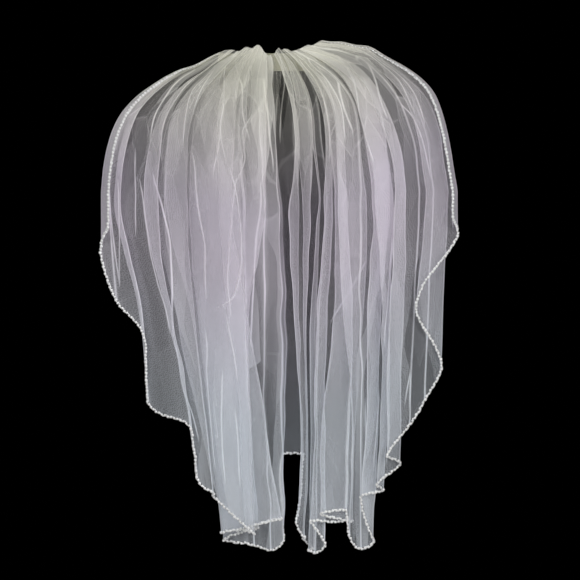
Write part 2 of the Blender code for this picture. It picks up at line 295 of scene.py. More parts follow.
def limited_slopes(at, values):
    """Slopes of a curve through values that turns only at the values themselves."""
    steps = np.diff(at)
    rates = np.diff(values) / steps
    slopes = np.zeros(len(values))
    before, after = rates[:-1], rates[1:]
    same_way = before * after > 0
    weight_a = 2 * steps[1:] + steps[:-1]
    weight_b = steps[1:] + 2 * steps[:-1]
    safe_before = np.where(same_way, before, 1.0)
    safe_after = np.where(same_way, after, 1.0)
    mean = (weight_a + weight_b) / (weight_a / safe_before + weight_b / safe_after)
    slopes[1:-1] = np.where(same_way, mean, 0.0)
    slopes[0], slopes[-1] = rates[0], rates[-1]
    return slopes


def hermite(at, values, slopes, where):
    """Cubic curve through values with the given slopes, read at each of where."""
    left = np.clip(np.searchsorted(at, where, side="right") - 1, 0, len(at) - 2)
    span = at[left + 1] - at[left]
    t = (where - at[left]) / span
    rise = values[left + 1] - values[left]
    start = (t**3 - 2 * t**2 + t) * span * slopes[left]
    end = (t**3 - t**2) * span * slopes[left + 1]
    return values[left] + rise * (3 * t**2 - 2 * t**3) + start + end


def eased(at, values, where):
    return hermite(at, values, limited_slopes(at, values), where)


def smooth(t):
    t = np.clip(t, 0.0, 1.0)
    return t * t * (3 - 2 * t)


def fold_stations():
    """Distance of each fold edge from the left side edge, along the shoulder's line."""
    run = np.diff(fold_column("shoulder"))
    step = np.diff(fold_column("depth")) * FOLD_DEPTH
    return np.concatenate(([0.0], np.cumsum(np.hypot(run, step))))


def fold_insets(stations):
    """Length of the rounded part at each end of a panel."""
    length = np.diff(stations)
    return np.minimum(np.sqrt(FOLD_ROUND * length / 3), INSET_SHARE * length)


def sheet_columns(stations):
    """Places of the mesh columns, closest together in the rounded part of each fold."""
    places = [stations[0]]
    for start, end, inset in zip(stations, stations[1:], fold_insets(stations)):
        places.extend(start + inset * np.array(INSET_STEPS))
        count = max(1, round((end - start - 2 * inset) / COLUMN_STEP))
        places.extend(np.linspace(start + inset, end - inset, count + 1)[1:])
        places.extend((end - inset * np.array(INSET_STEPS[:-1]))[::-1])
        places.append(end)
    return np.array(places)


def stacked(stations, places):
    """Place in the stack of each mesh column: wide panels are level between their folds."""
    depth = fold_column("depth")
    step = np.diff(depth)
    wide = np.abs(np.diff(fold_column("shoulder"))) > WIDE_PANEL * np.abs(step) * FOLD_DEPTH
    insets = fold_insets(stations)
    share = np.where(wide, 0.5, insets / np.diff(stations))
    at = np.stack((stations[:-1], stations[:-1] + insets, stations[1:] - insets), axis=1)
    value = np.stack((depth[:-1], depth[:-1] + share * step, depth[1:] - share * step), axis=1)
    at = np.append(at.ravel(), stations[-1])
    value = np.append(value.ravel(), depth[-1])
    return (eased(at, value, places) + REAR_DEPTH) / (1 + REAR_DEPTH)


def stack_depth(z):
    """Depth of the whole stack of folds at a height: sewn flat at the seam, then spreading."""
    spread = np.sin(math.pi / 2 * np.clip(z / SHOULDER_Z, 0.0, 1.0))
    hang = np.clip((SHOULDER_Z - z) / (SHOULDER_Z - HEM_Z), 0.0, 1.0)
    depth = (GATHER_DEPTH + (FOLD_DEPTH - GATHER_DEPTH) * spread) * (1 - HEM_TUCK * hang)
    return depth * (SEWN_SHARE + (1 - SEWN_SHARE) * smooth(-z / SEWN_REACH))


def side_sweep(reach):
    """How far back the cloth lies at this reach from the axis it hangs round."""
    beyond = np.maximum(np.abs(reach) - SWEEP_START, 0.0)
    return SIDE_SWEEP * (beyond / (HALF_WIDTH - SWEEP_START)) ** 2


def hanging_x(levels, z):
    """x of each column (row of levels) at heights z below the shoulder."""
    drops = SHOULDER_Z - np.array((SHOULDER_Z, MID_Z, LOW_Z, HEM_Z))
    rates = np.diff(levels, axis=1) / np.diff(drops)
    middle = (rates[:, :-1] + rates[:, 1:]) / 2
    slopes = np.column_stack((np.zeros(len(levels)), middle, rates[:, -1]))
    drop = np.minimum(SHOULDER_Z - z, drops[-1])
    left = np.clip(np.searchsorted(drops, drop, side="right") - 1, 0, len(drops) - 2)
    span = drops[left + 1] - drops[left]
    t = (drop - drops[left]) / span
    low, high = (np.take_along_axis(levels, left + k, axis=1) for k in (0, 1))
    slope_low, slope_high = (np.take_along_axis(slopes, left + k, axis=1) for k in (0, 1))
    bend = (t**3 - 2 * t**2 + t) * span * slope_low + (t**3 - t**2) * span * slope_high
    return low + (high - low) * (3 * t**2 - 2 * t**3) + bend


def soft_noise(across, along, seed):
    """Smooth noise from -1 to 1 over two coordinates counted in cells."""
    random = np.random.default_rng(seed)
    size = 512
    cells = random.uniform(-1, 1, (size, size))
    a, b = np.broadcast_arrays(across, along)
    i, j = np.floor(a).astype(int), np.floor(b).astype(int)
    s, t = smooth(a - i), smooth(b - j)

    def cell(di, dj):
        return cells[(i + di) % size, (j + dj) % size]

    low = cell(0, 0) * (1 - s) + cell(1, 0) * s
    high = cell(0, 1) * (1 - s) + cell(1, 1) * s
    return low * (1 - t) + high * t


def dome_curves():
    """The dome's rows, closer together near the seam, as shares out and down."""
    table = np.array(DOME_ROWS)
    chord = np.hypot(np.diff(table[:, 0]), np.diff(table[:, 1:].mean(axis=1)))
    at = np.concatenate(([0.0], np.cumsum(chord)))
    where = at[-1] * np.linspace(0, 1, DOME_STEPS + 1) ** 1.25
    return [eased(at, table[:, k], where) for k in range(3)]


def crease_fields(x, z, panel):
    """Distance to the nearest crease in its half widths, and its strength.

    There are two such fields, and each panel's creases take turns, so that near
    neighbours don't share one.
    """
    fields = [[np.full(x.shape, 2 * CREASE_REACH / MM), np.zeros(x.shape)] for _ in range(2)]
    names = [row[0] for row in FOLDS]
    for number, (name, width, strength, path) in enumerate(CREASES):
        distance, gain = fields[number % 2]
        path_x, path_z = np.array(path, dtype=float).T * MM
        columns = panel == names.index(name)
        down = -z[columns]
        inside = np.clip(down, -path_z[0], -path_z[-1])
        line = eased(-path_z, path_x, inside)
        lean = (eased(-path_z, path_x, np.clip(inside + MM, -path_z[0], -path_z[-1])) - line) / MM
        away = (x[columns] - line) / np.hypot(1.0, lean)
        ends = smooth((down + path_z[0]) / CREASE_FADE + 0.25) * smooth((-path_z[-1] - down) / CREASE_FADE + 0.25)
        widths = away / (CREASE_LINE * width * MM)
        nearer = (np.abs(widths) < np.abs(distance[columns])) & (ends > 0)
        reach = smooth(2 - 2 * np.abs(away) / CREASE_REACH)
        distance[columns] = np.where(nearer, widths, distance[columns])
        gain[columns] = np.where(nearer, strength * ends * reach, gain[columns])
    return fields


def sheet_surface():
    """The net as arrays of columns and rows: points, cloth places, density and creases."""
    stations = fold_stations()
    places = sheet_columns(stations)
    read = {}
    for name in ("shoulder", "mid", "low", "bottom", "hem"):
        read[name] = eased(stations, fold_column(name), places)
    levels = np.column_stack([read[name] for name in ("shoulder", "mid", "low", "bottom")])
    shoulder_x = levels[:, :1]
    reach = shoulder_x - HANG_SHIFT
    stack = stacked(stations, places)[:, None]
    across = places[:, None]

    seam_at, seam_height = np.array(SEAM_LINE, dtype=float).T * MM
    seam_x = reach * GATHER_RATIO
    seam_z = eased(seam_at, seam_height, reach)
    rightward = np.clip((reach + HALF_WIDTH) / (2 * HALF_WIDTH), 0, 1)
    out, down_left, down_right = dome_curves()
    down = down_left + (down_right - down_left) * rightward
    dome_x = seam_x + (shoulder_x - seam_x) * out
    dome_z = seam_z + (SHOULDER_Z - seam_z) * down
    dome_sweep = side_sweep(reach) * down

    share = np.arange(1, SKIRT_STEPS + 1) / SKIRT_STEPS
    skirt_z = SHOULDER_Z + (read["hem"][:, None] - SHOULDER_Z) * share
    skirt_x = hanging_x(levels, skirt_z)

    x = np.hstack((dome_x, skirt_x))
    z = np.hstack((dome_z, skirt_z))
    sweep = np.hstack((dome_sweep, side_sweep(skirt_x - HANG_SHIFT)))

    # Drop along the cloth from the seam
    steps = np.hypot(np.diff(x, axis=1), np.diff(z, axis=1))
    drop = np.hstack((np.zeros((len(x), 1)), np.cumsum(steps, axis=1)))

    panel = np.clip(np.searchsorted(stations, places, side="right") - 1, 0, len(stations) - 2)
    creases = crease_fields(x, z, panel)
    ridge_width, ridge_height = CREASE_RIDGE
    ridge = sum(gain * np.exp(-((widths / ridge_width) ** 2)) for widths, gain in creases)

    near = np.abs(places[:, None] - stations[None, :]).min(axis=1, keepdims=True)
    off_fold = smooth(near / (6 * MM))
    from_sides = smooth(np.minimum(across, places[-1] - across) / (150 * MM))
    lower = smooth((drop - WANDER_FADE[0]) / WANDER_FADE[1])
    for seed, (size, cell_across, cell_down, low_share) in enumerate(WANDERS, 13):
        wander = soft_noise(across / cell_across, drop / cell_down, seed)
        wander *= 1 + (low_share - 1) * lower
        x = x + size * wander * smooth(drop / (60 * MM)) * from_sides

    ripple = soft_noise(across / RIPPLE_PITCH, drop / (9 * RIPPLE_PITCH), 3)
    ripple *= RIPPLE_DEPTH * np.exp(-drop / RIPPLE_FADE)
    slack = soft_noise(across / SLACK_PITCH[0], drop / SLACK_PITCH[1], 5) * SLACK_DEPTH
    slack *= smooth(drop / (120 * MM))
    y = sweep - (stack + (ripple + slack) * off_fold) * stack_depth(z)
    y = y - ridge * ridge_height * off_fold

    rise = soft_noise(across / PUFF_PITCH, 0.5, 9) * PUFF_HEIGHT
    for peak_x, height, width in np.array(SEAM_PEAKS, dtype=float) * MM:
        rise = rise + height * np.exp(-(((seam_x - peak_x) / width) ** 2))
    z = z + rise * np.exp(-drop / PEAK_REACH) * smooth(0.6 + drop / (8 * MM))
    for swell_x, swell_drop, height, width, length in np.array(SWELLS, dtype=float) * MM:
        over = ((x - swell_x) / width) ** 2 + ((drop - swell_drop) / length) ** 2
        z = z + height * np.exp(-over)
    hem_wave = soft_noise(across / HEM_WAVE_PITCH, 0.5, 25) * HEM_WAVE
    z = z + hem_wave * np.exp(-(drop[:, -1:] - drop) / (20 * MM))

    # Cloth drawn together by the gather shows more threads, as do folds, hem and bunches
    scale = np.hstack((GATHER_RATIO + (1 - GATHER_RATIO) * out, np.ones(SKIRT_STEPS)))
    gain_middle, gain_sides = GATHER_GAIN
    outwards = np.abs(reach) / HALF_WIDTH
    gathered = scale[None, :] ** -(gain_middle + (gain_sides - gain_middle) * outwards)
    nearest = np.abs(places[:, None] - stations[None, :]).argmin(axis=1)
    from_fold = np.abs(shoulder_x - fold_column("shoulder")[nearest][:, None]) * scale
    fold = np.exp(-((from_fold / CREST_WIDTH) ** 2))
    fold[(nearest == 0) | (nearest == len(stations) - 1)] = 0.0
    fold = fold * (1 + 0.6 * soft_noise(across / CREST_PITCH[0], drop / CREST_PITCH[1], 17))
    threads = np.array([THREADS.get(row[0], (1.0, 1.0)) for row in FOLDS])
    upper, low = (eased(stations, threads[:, k], places)[:, None] for k in (0, 1))
    bunched = upper + (low - upper) * smooth((SHOULDER_Z - z) / (SHOULDER_Z - LOW_Z))
    hem = np.exp(-(drop[:, -1:] - drop) / HEM_REACH)
    streaks = soft_noise(across / STREAK_PITCH[0], drop / STREAK_PITCH[1], 19)
    crest_top, crest_low = CREST_GAIN
    crest = crest_top + (crest_low - crest_top) * smooth(z / HEM_Z)
    density = bunched * gathered * (1 + crest * fold) * (1 + HEM_GAIN * hem)
    density = density * (1 + STREAK_GAIN * streaks)

    marks = {"cloth_at": (across + 0 * drop, drop, 0 * drop)}
    for name, (away, gain) in zip(("crease_one", "crease_two"), creases):
        marks[name] = (away, gain, 0 * gain)
    patches = soft_noise(across / CRUSH_PATCHES[0], drop / CRUSH_PATCHES[1], 23)
    by_gather = 1 - 0.85 * smooth((drop - CRUSH_FADE[0]) / (CRUSH_FADE[1] - CRUSH_FADE[0]))
    crushes = (("crush_long", CRUSH_LONG, smooth(0.75 + patches)), ("crush_short", CRUSH_SHORT, by_gather))
    for seed, (name, (cell_across, cell_down, bend, _, _), share) in enumerate(crushes, 29):
        sideways = soft_noise(across / CRUSH_BEND_PITCH[0], drop / CRUSH_BEND_PITCH[1], seed)
        sway = soft_noise(0.3, (across + drop) / (260 * MM), seed + 2)
        down_cloth = soft_noise(across / CRUSH_BEND_PITCH[0], drop / CRUSH_BEND_PITCH[1], seed + 4)
        marks[name] = (
            (across + bend * (0.45 * sideways + sway)) / cell_across,
            (drop + 2 * bend * down_cloth) / cell_down,
            share,
        )
    return np.stack((x, y, z), axis=2), density, marks


def grid_faces(columns, rows):
    c, r = np.meshgrid(np.arange(columns - 1), np.arange(rows - 1), indexing="ij")
    first = (c * rows + r).ravel()
    return np.column_stack((first, first + 1, first + rows + 1, first + rows))


def mesh_piece(name, points, faces, finish):
    """A smooth mesh object that rides on the veil's one body."""
    mesh = bpy.data.meshes.new(name)
    mesh.from_pydata(points.reshape(-1, 3).tolist(), [], faces.tolist())
    mesh.shade_smooth()
    mesh.materials.append(finish)
    piece = bpy.data.objects.new(name, mesh)
    bpy.context.scene.collection.objects.link(piece)
    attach(piece, "root")
    return piece


def build_net(surface, finish):
    points, density, marks = surface
    net = mesh_piece("tulle_net", points, grid_faces(*density.shape), finish)
    threads = net.data.attributes.new("thread_density", "FLOAT", "POINT")
    threads.data.foreach_set("value", density.ravel())
    for name, values in marks.items():
        kept = net.data.attributes.new(name, "FLOAT_VECTOR", "POINT")
        kept.data.foreach_set("vector", np.stack(values, axis=2).ravel())
    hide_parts("veil_net")
    return net


# ---------------------------------------------------------------- beads and thread


def unit(vectors):
    return vectors / np.linalg.norm(vectors, axis=-1, keepdims=True)


def edge_route(points):
    """The line of beads just outside the sheet's sides and hem, and the way outwards."""
    start = BEAD_START
    edge = np.concatenate((points[0, start:-1], points[:, -1], points[-1, start:-1][::-1]))
    inner = np.concatenate((points[1, start:-1], points[:, -2], points[-2, start:-1][::-1]))
    keep = np.concatenate(([True], np.linalg.norm(np.diff(edge, axis=0), axis=1) > 0.2 * MM))
    edge, inner = edge[keep], inner[keep]
    along = unit(np.gradient(edge, axis=0))
    away = edge - inner
    away = unit(away - along * np.sum(away * along, axis=1, keepdims=True))
    return edge + away * (SEAM_GAP + EDGE_RADIUS), away


def resampled(route, pitch):
    """Lengths along a route, and places a pitch apart on it."""
    length = np.concatenate(([0.0], np.cumsum(np.linalg.norm(np.diff(route, axis=0), axis=1))))
    return length, np.arange(0.0, length[-1], pitch)


def read_along(length, values, where):
    return np.column_stack([np.interp(where, length, values[:, k]) for k in range(3)])


def ball(sides, rings):
    """Unit ball: points and faces, with one point at each pole."""
    points = [(0.0, 0.0, 1.0)]
    for ring in range(1, rings):
        tilt = math.pi * ring / rings
        for side in range(sides):
            turn = 2 * math.pi * side / sides
            points.append(
                (math.sin(tilt) * math.cos(turn), math.sin(tilt) * math.sin(turn), math.cos(tilt))
            )
    points.append((0.0, 0.0, -1.0))
    last = len(points) - 1
    faces = []
    for side in range(sides):
        after = (side + 1) % sides
        faces.append((0, 1 + side, 1 + after))
        for ring in range(rings - 2):
            top, low = 1 + ring * sides, 1 + (ring + 1) * sides
            faces.append((top + side, low + side, low + after, top + after))
        base = 1 + (rings - 2) * sides
        faces.append((last, base + after, base + side))
    return np.array(points), faces


def build_beads(points, finish):
    """Pearls with smaller glass beads between them, sewn in an uneven zigzag."""
    route, away = edge_route(points)
    length, where = resampled(route, BEAD_PITCH)
    middle = read_along(length, route, where)
    outward = unit(read_along(length, away, where))
    along = unit(np.gradient(middle, axis=0))
    sideways = np.cross(along, outward)
    count = len(where)
    pearl = np.arange(count) % PEARL_EVERY == 0
    size = np.where(pearl, PEARL_SIZE, BEAD_SIZE) * RANDOM.uniform(0.8, 1.1, count)
    size *= BEAD_LEAST + (1 - BEAD_LEAST) * smooth(np.minimum(where, where[-1] - where) / BEAD_RISE)
    swing = np.where(np.arange(count) % 4 < 2, 1.0, -1.0) * RANDOM.uniform(0.1, 1.0, count)
    swing = np.where(pearl, 0.45 * swing, swing)
    shift = RANDOM.uniform(-0.4, 0.4, count)
    middle = middle + outward * (swing * BEAD_WANDER)[:, None]
    middle = middle + sideways * (shift * BEAD_WANDER)[:, None]
    shape, ball_faces = ball(BEAD_SIDES, BEAD_RINGS)
    verts = middle[:, None, :] + shape[None] * size[:, None, None]
    faces = []
    for k in range(count):
        base = k * len(shape)
        faces.extend(tuple(base + v for v in face) for face in ball_faces)
    mesh = bpy.data.meshes.new("edge_beads")
    mesh.from_pydata(verts.reshape(-1, 3).tolist(), [], faces)
    mesh.shade_smooth()
    mesh.materials.append(finish)
    beads = bpy.data.objects.new("edge_beads", mesh)
    bpy.context.scene.collection.objects.link(beads)
    lustre = mesh.attributes.new("bead_lustre", "FLOAT", "POINT")
    tone = np.where(pearl, RANDOM.uniform(0.7, 1.0, count), RANDOM.uniform(0.0, 0.75, count))
    lustre.data.foreach_set("value", np.repeat(tone, len(shape)))
    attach(beads, "root")
    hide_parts("bead_edging")
    return beads


def tube(name, route, radius, sides, finish):
    """Closed tube along a route, with flat ends."""
    along = unit(np.gradient(route, axis=0))
    first = unit(np.cross(along, np.array((0.31, 0.93, 0.17))))
    second = np.cross(along, first)
    turn = 2 * math.pi * np.arange(sides) / sides
    ring = first[:, None] * np.cos(turn)[None, :, None] + second[:, None] * np.sin(turn)[None, :, None]
    points = route[:, None] + ring * radius
    count = len(route)
    faces = []
    for k in range(count - 1):
        for s in range(sides):
            t = (s + 1) % sides
            faces.append((k * sides + s, k * sides + t, (k + 1) * sides + t, (k + 1) * sides + s))
    faces.append(tuple(range(sides))[::-1])
    faces.append(tuple((count - 1) * sides + s for s in range(sides)))
    mesh = bpy.data.meshes.new(name)
    mesh.from_pydata(points.reshape(-1, 3).tolist(), [], faces)
    mesh.shade_smooth()
    mesh.materials.append(finish)
    piece = bpy.data.objects.new(name, mesh)
    bpy.context.scene.collection.objects.link(piece)
    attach(piece, "root")
    return piece


def build_edge_thread(points, finish):
    route, _ = edge_route(points)
    length, where = resampled(route, BEAD_PITCH)
    thread = tube("edge_thread", read_along(length, route, where), THREAD_RADIUS, THREAD_SIDES, finish)
    return thread


# ---------------------------------------------------------------- ribbon and comb


RIBBON_COLUMNS = 120
RIBBON_ROWS = 16
RIBBON_WAVE = 0.35 * MM
RIBBON_HALF = 0.45 * MM
SELVEDGE = 0.25 * MM


def build_ribbon(finish):
    """Satin ribbon, a little puckered by the stitches that hold the net."""
    middle_y = WALL / 2 + SEAM_GAP + BAND_SIZE[1] / 2
    u = np.linspace(-0.5, 0.5, RIBBON_COLUMNS)[:, None]
    v = np.linspace(-0.5, 0.5, RIBBON_ROWS)[None, :]
    wave = soft_noise(u * 38, v * 1.5, 21) * RIBBON_WAVE
    rim = SELVEDGE * np.exp(-(((0.5 - np.abs(v)) / 0.035) ** 2)) + 0 * u
    sides = []
    for way in (-1, 1):
        y = middle_y + wave + way * (RIBBON_HALF + rim) * smooth((0.5 - np.abs(u)) / 0.004 + 0.35)
        x = u * BAND_SIZE[0] + 0 * v
        z = BAND_Z + v * BAND_SIZE[2] + 0 * u
        sides.append(np.stack((x, y, z), axis=2).reshape(-1, 3))
    front = grid_faces(RIBBON_COLUMNS, RIBBON_ROWS)
    count = RIBBON_COLUMNS * RIBBON_ROWS
    back = front[:, ::-1] + count
    rows = RIBBON_ROWS
    loop = [c * rows for c in range(RIBBON_COLUMNS)]
    loop += [(RIBBON_COLUMNS - 1) * rows + r for r in range(1, rows)]
    loop += [c * rows + rows - 1 for c in range(RIBBON_COLUMNS - 2, -1, -1)]
    loop += list(range(rows - 2, 0, -1))
    rim_faces = [
        (loop[k], loop[(k + 1) % len(loop)], loop[(k + 1) % len(loop)] + count, loop[k] + count)
        for k in range(len(loop))
    ]
    faces = np.concatenate((front[:, ::-1], back[:, ::-1], np.array(rim_faces)[:, ::-1]))
    ribbon = mesh_piece("satin_ribbon", np.concatenate(sides), faces, finish)
    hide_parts("gather_band")
    return ribbon


def build_comb_stitches(finish):
    """Thread loops that hold the comb's spine to the ribbon, one between each two teeth."""
    pitch = (COMB_SPINE[0] - TOOTH_WIDTH) / (TOOTH_COUNT - 1)
    band_back = WALL / 2 + SEAM_GAP + BAND_SIZE[1]
    centre_y = band_back + SEAM_GAP + COMB_SPINE[1] / 2
    half_y = COMB_SPINE[1] / 2 + 0.5 * MM
    half_z = COMB_SPINE[2] / 2 + 0.6 * MM
    turn = np.linspace(0, 2 * math.pi, 25)
    points, faces = [], []
    sides = THREAD_SIDES
    for k in range(TOOTH_COUNT - 1):
        x = pitch * (k + 0.5 - (TOOTH_COUNT - 1) / 2)
        for strand in (-0.6, 0.0, 0.6):
            lean = RANDOM.uniform(-0.5, 0.5) * MM
            square = 0.55
            cos, sin = np.cos(turn), np.sin(turn)
            ring_y = centre_y + half_y * np.sign(cos) * np.abs(cos) ** square
            ring_z = COMB_Z + half_z * np.sign(sin) * np.abs(sin) ** square
            ring_x = x + strand * MM + lean * sin
            route = np.column_stack((ring_x, ring_y, ring_z))[:-1]
            along = unit(np.roll(route, -1, axis=0) - np.roll(route, 1, axis=0))
            first = np.tile((1.0, 0.0, 0.0), (len(route), 1))
            second = unit(np.cross(along, first))
            base = len(points)
            for place, a, b in zip(route, first, second):
                for s in range(sides):
                    angle = 2 * math.pi * s / sides
                    points.append(place + (a * math.cos(angle) + b * math.sin(angle)) * THREAD_RADIUS)
            count = len(route)
            for i in range(count):
                for s in range(sides):
                    t, j = (s + 1) % sides, (i + 1) % count
                    faces.append(
                        (base + i * sides + s, base + j * sides + s, base + j * sides + t, base + i * sides + t)
                    )
    stitches = mesh_piece("comb_stitches", np.array(points), np.array(faces), finish)
    return stitches


# ---------------------------------------------------------------- finishes


def linear(hex_colour):
    """An sRGB hex colour as linear red, green, blue and full alpha."""
    channels = [int(hex_colour[k:k + 2], 16) / 255 for k in (1, 3, 5)]
    return (*(c / 12.92 if c <= 0.04045 else ((c + 0.055) / 1.055) ** 2.4 for c in channels), 1.0)


def add_node(tree, kind, settings, sockets):
    """A node with its settings, and its sockets set or linked; its first output is returned."""
    node = tree.nodes.new(kind)
    for name, value in settings.items():
        setattr(node, name, value)
    for name, value in sockets.items():
        if isinstance(value, bpy.types.NodeSocket):
            tree.links.new(value, node.inputs[name])
        else:
            node.inputs[name].default_value = value
    return node.outputs


def new_finish(name):
    finish = bpy.data.materials.new(name)
    finish.use_nodes = True
    return finish, finish.node_tree, finish.node_tree.nodes["Principled BSDF"]


def crushed_net(tree, name, size):
    """Flats of crushed net, each with a tone round 1 that is painted light and shade of a flat tilted to the
    lamps, and the creases between them.
    """
    across, _, _, contrast, edge = size
    at = add_node(tree, "ShaderNodeAttribute", {"attribute_name": name}, {})["Vector"]
    share = add_node(tree, "ShaderNodeSeparateXYZ", {}, {0: at})["Z"]
    flat = add_node(
        tree, "ShaderNodeTexVoronoi", {"voronoi_dimensions": "2D"}, {"Vector": at, "Scale": 1.0}
    )["Color"]
    # Each flat's tone is painted light and shade, as if the flat were tilted towards or away from the lamps
    tone = add_node(tree, "ShaderNodeSeparateXYZ", {}, {0: flat})["X"]
    tone = add_node(
        tree,
        "ShaderNodeMapRange",
        {},
        {"Value": tone, "From Min": 0.0, "From Max": 1.0, "To Min": -contrast, "To Max": contrast},
    )[0]
    tone = add_node(
        tree, "ShaderNodeMath", {"operation": "MULTIPLY_ADD"}, {0: tone, 1: share, 2: 1.0}
    )[0]
    border = add_node(
        tree,
        "ShaderNodeTexVoronoi",
        {"feature": "DISTANCE_TO_EDGE", "voronoi_dimensions": "2D"},
        {"Vector": at, "Scale": 1.0},
    )["Distance"]
    line = add_node(
        tree,
        "ShaderNodeMapRange",
        {"interpolation_type": "SMOOTHSTEP"},
        {"Value": border, "From Min": 0.0, "From Max": CRUSH_LINE / across, "To Min": edge, "To Max": 0.0},
    )[0]
    line = add_node(tree, "ShaderNodeMath", {"operation": "MULTIPLY"}, {0: line, 1: share})[0]
    return tone, line


def ivory_tulle():
    """Nylon tulle, a fine hexagonal net: matt threads, seen through, denser where it turns edge on."""
    finish, tree, shader = new_finish("ivory_nylon_tulle")
    cloth = add_node(tree, "ShaderNodeAttribute", {"attribute_name": "cloth_at"}, {})["Vector"]
    threads = add_node(tree, "ShaderNodeAttribute", {"attribute_name": "thread_density"}, {})["Fac"]

    # The hexagons are about 1 mm in real tulle and drawn coarser, so that they show
    cells = add_node(
        tree,
        "ShaderNodeTexVoronoi",
        {"feature": "DISTANCE_TO_EDGE", "voronoi_dimensions": "2D"},
        {"Vector": cloth, "Scale": 1 / HEX_PITCH, "Randomness": 0.9},
    )["Distance"]
    strand = add_node(
        tree,
        "ShaderNodeMapRange",
        {"interpolation_type": "SMOOTHSTEP"},
        {"Value": cells, "From Min": 0.0, "From Max": 0.3, "To Min": 1.35, "To Max": 0.75},
    )[0]

    # Listed creases, then the crushed flats with theirs
    placed_lines = 0.0
    for name in ("crease_one", "crease_two"):
        placed = add_node(tree, "ShaderNodeAttribute", {"attribute_name": name}, {})["Vector"]
        away, strength, _ = add_node(tree, "ShaderNodeSeparateXYZ", {}, {0: placed})
        square = add_node(tree, "ShaderNodeMath", {"operation": "MULTIPLY"}, {0: away, 1: away})[0]
        less = add_node(tree, "ShaderNodeMath", {"operation": "MULTIPLY"}, {0: square, 1: -1.0})[0]
        bell = add_node(tree, "ShaderNodeMath", {"operation": "EXPONENT"}, {0: less})[0]
        line = add_node(tree, "ShaderNodeMath", {"operation": "MULTIPLY"}, {0: bell, 1: strength})[0]
        placed_lines = add_node(
            tree, "ShaderNodeMath", {"operation": "ADD"}, {0: placed_lines, 1: line}
        )[0]
    lines = placed_lines
    # Painted light and shade: the flats' tones stand for crushed flats tilted towards or away from the lamps
    flats = 1.0
    for name, size in (("crush_long", CRUSH_LONG), ("crush_short", CRUSH_SHORT)):
        tone, line = crushed_net(tree, name, size)
        lines = add_node(tree, "ShaderNodeMath", {"operation": "ADD"}, {0: line, 1: lines})[0]
        flats = add_node(tree, "ShaderNodeMath", {"operation": "MULTIPLY"}, {0: flats, 1: tone})[0]
    creased = add_node(
        tree, "ShaderNodeMath", {"operation": "MULTIPLY_ADD"}, {0: lines, 1: CREASE_GAIN, 2: 1.0}
    )[0]

    density = threads
    for share in (NET_DENSITY, strand, flats, creased):
        density = add_node(tree, "ShaderNodeMath", {"operation": "MULTIPLY"}, {0: density, 1: share})[0]
    facing = add_node(tree, "ShaderNodeLayerWeight", {}, {"Blend": 0.5})["Facing"]
    cosine = add_node(tree, "ShaderNodeMath", {"operation": "SUBTRACT"}, {0: 1.0, 1: facing})[0]
    cosine = add_node(tree, "ShaderNodeMath", {"operation": "MAXIMUM"}, {0: cosine, 1: EDGE_ON})[0]
    crossed = add_node(tree, "ShaderNodeMath", {"operation": "DIVIDE"}, {0: density, 1: cosine})[0]
    crossed = add_node(tree, "ShaderNodeMath", {"operation": "MULTIPLY"}, {0: crossed, 1: -1.0})[0]
    passed = add_node(tree, "ShaderNodeMath", {"operation": "EXPONENT"}, {0: crossed})[0]
    stopped = add_node(tree, "ShaderNodeMath", {"operation": "SUBTRACT"}, {0: 1.0, 1: passed})[0]
    tree.links.new(stopped, shader.inputs["Alpha"])

    # Creamier at the sewn end, then a faint rose white that is painted light from a rosy backdrop seen through
    # the net, and cooler towards the hem, a painted tint of cool light
    drop = add_node(tree, "ShaderNodeSeparateXYZ", {}, {0: cloth})["Y"]
    tint = linear("#f6f5ea")
    for start, end, colour in ((50 * MM, 250 * MM, "#f2ecf6"), (340 * MM, 580 * MM, "#eaeff6")):
        share = add_node(
            tree,
            "ShaderNodeMapRange",
            {},
            {"Value": drop, "From Min": start, "From Max": end, "To Min": 0.0, "To Max": 1.0},
        )[0]
        tint = add_node(
            tree, "ShaderNodeMix", {"data_type": "RGBA"}, {0: share, 6: tint, 7: linear(colour)}
        )[2]
    tree.links.new(tint, shader.inputs["Base Color"])
    bumped = add_node(
        tree, "ShaderNodeBump", {}, {"Strength": 0.4, "Distance": 0.8 * MM, "Height": placed_lines}
    )[0]
    tree.links.new(bumped, shader.inputs["Normal"])
    shader.inputs["Roughness"].default_value = 0.75
    shader.inputs["IOR"].default_value = 1.53
    shader.inputs["Specular IOR Level"].default_value = 0.25
    return finish


def pearl_beads():
    """Pearl and clear glass seed beads: smooth and glossy, some creamier than others."""
    finish, tree, shader = new_finish("pearl_seed_beads")
    lustre = add_node(tree, "ShaderNodeAttribute", {"attribute_name": "bead_lustre"}, {})["Fac"]
    tint = add_node(
        tree,
        "ShaderNodeMix",
        {"data_type": "RGBA"},
        {0: lustre, 6: linear("#cfcfce"), 7: linear("#ffffff")},
    )[2]
    tree.links.new(tint, shader.inputs["Base Color"])
    shader.inputs["Roughness"].default_value = 0.22
    shader.inputs["IOR"].default_value = 1.53
    shader.inputs["Coat Weight"].default_value = 0.4
    return finish


def spun_thread():
    """White polyester sewing thread: twisted strands with a slight shine."""
    finish, tree, shader = new_finish("polyester_thread")
    where = add_node(tree, "ShaderNodeNewGeometry", {}, {})["Position"]
    twist = add_node(
        tree, "ShaderNodeTexNoise", {}, {"Vector": where, "Scale": 1 / (0.6 * MM), "Detail": 1.0}
    )[0]
    tint = add_node(
        tree,
        "ShaderNodeMix",
        {"data_type": "RGBA"},
        {0: twist, 6: linear("#cfccc4"), 7: linear("#f4f2ec")},
    )[2]
    tree.links.new(tint, shader.inputs["Base Color"])
    shader.inputs["Roughness"].default_value = 0.55
    return finish


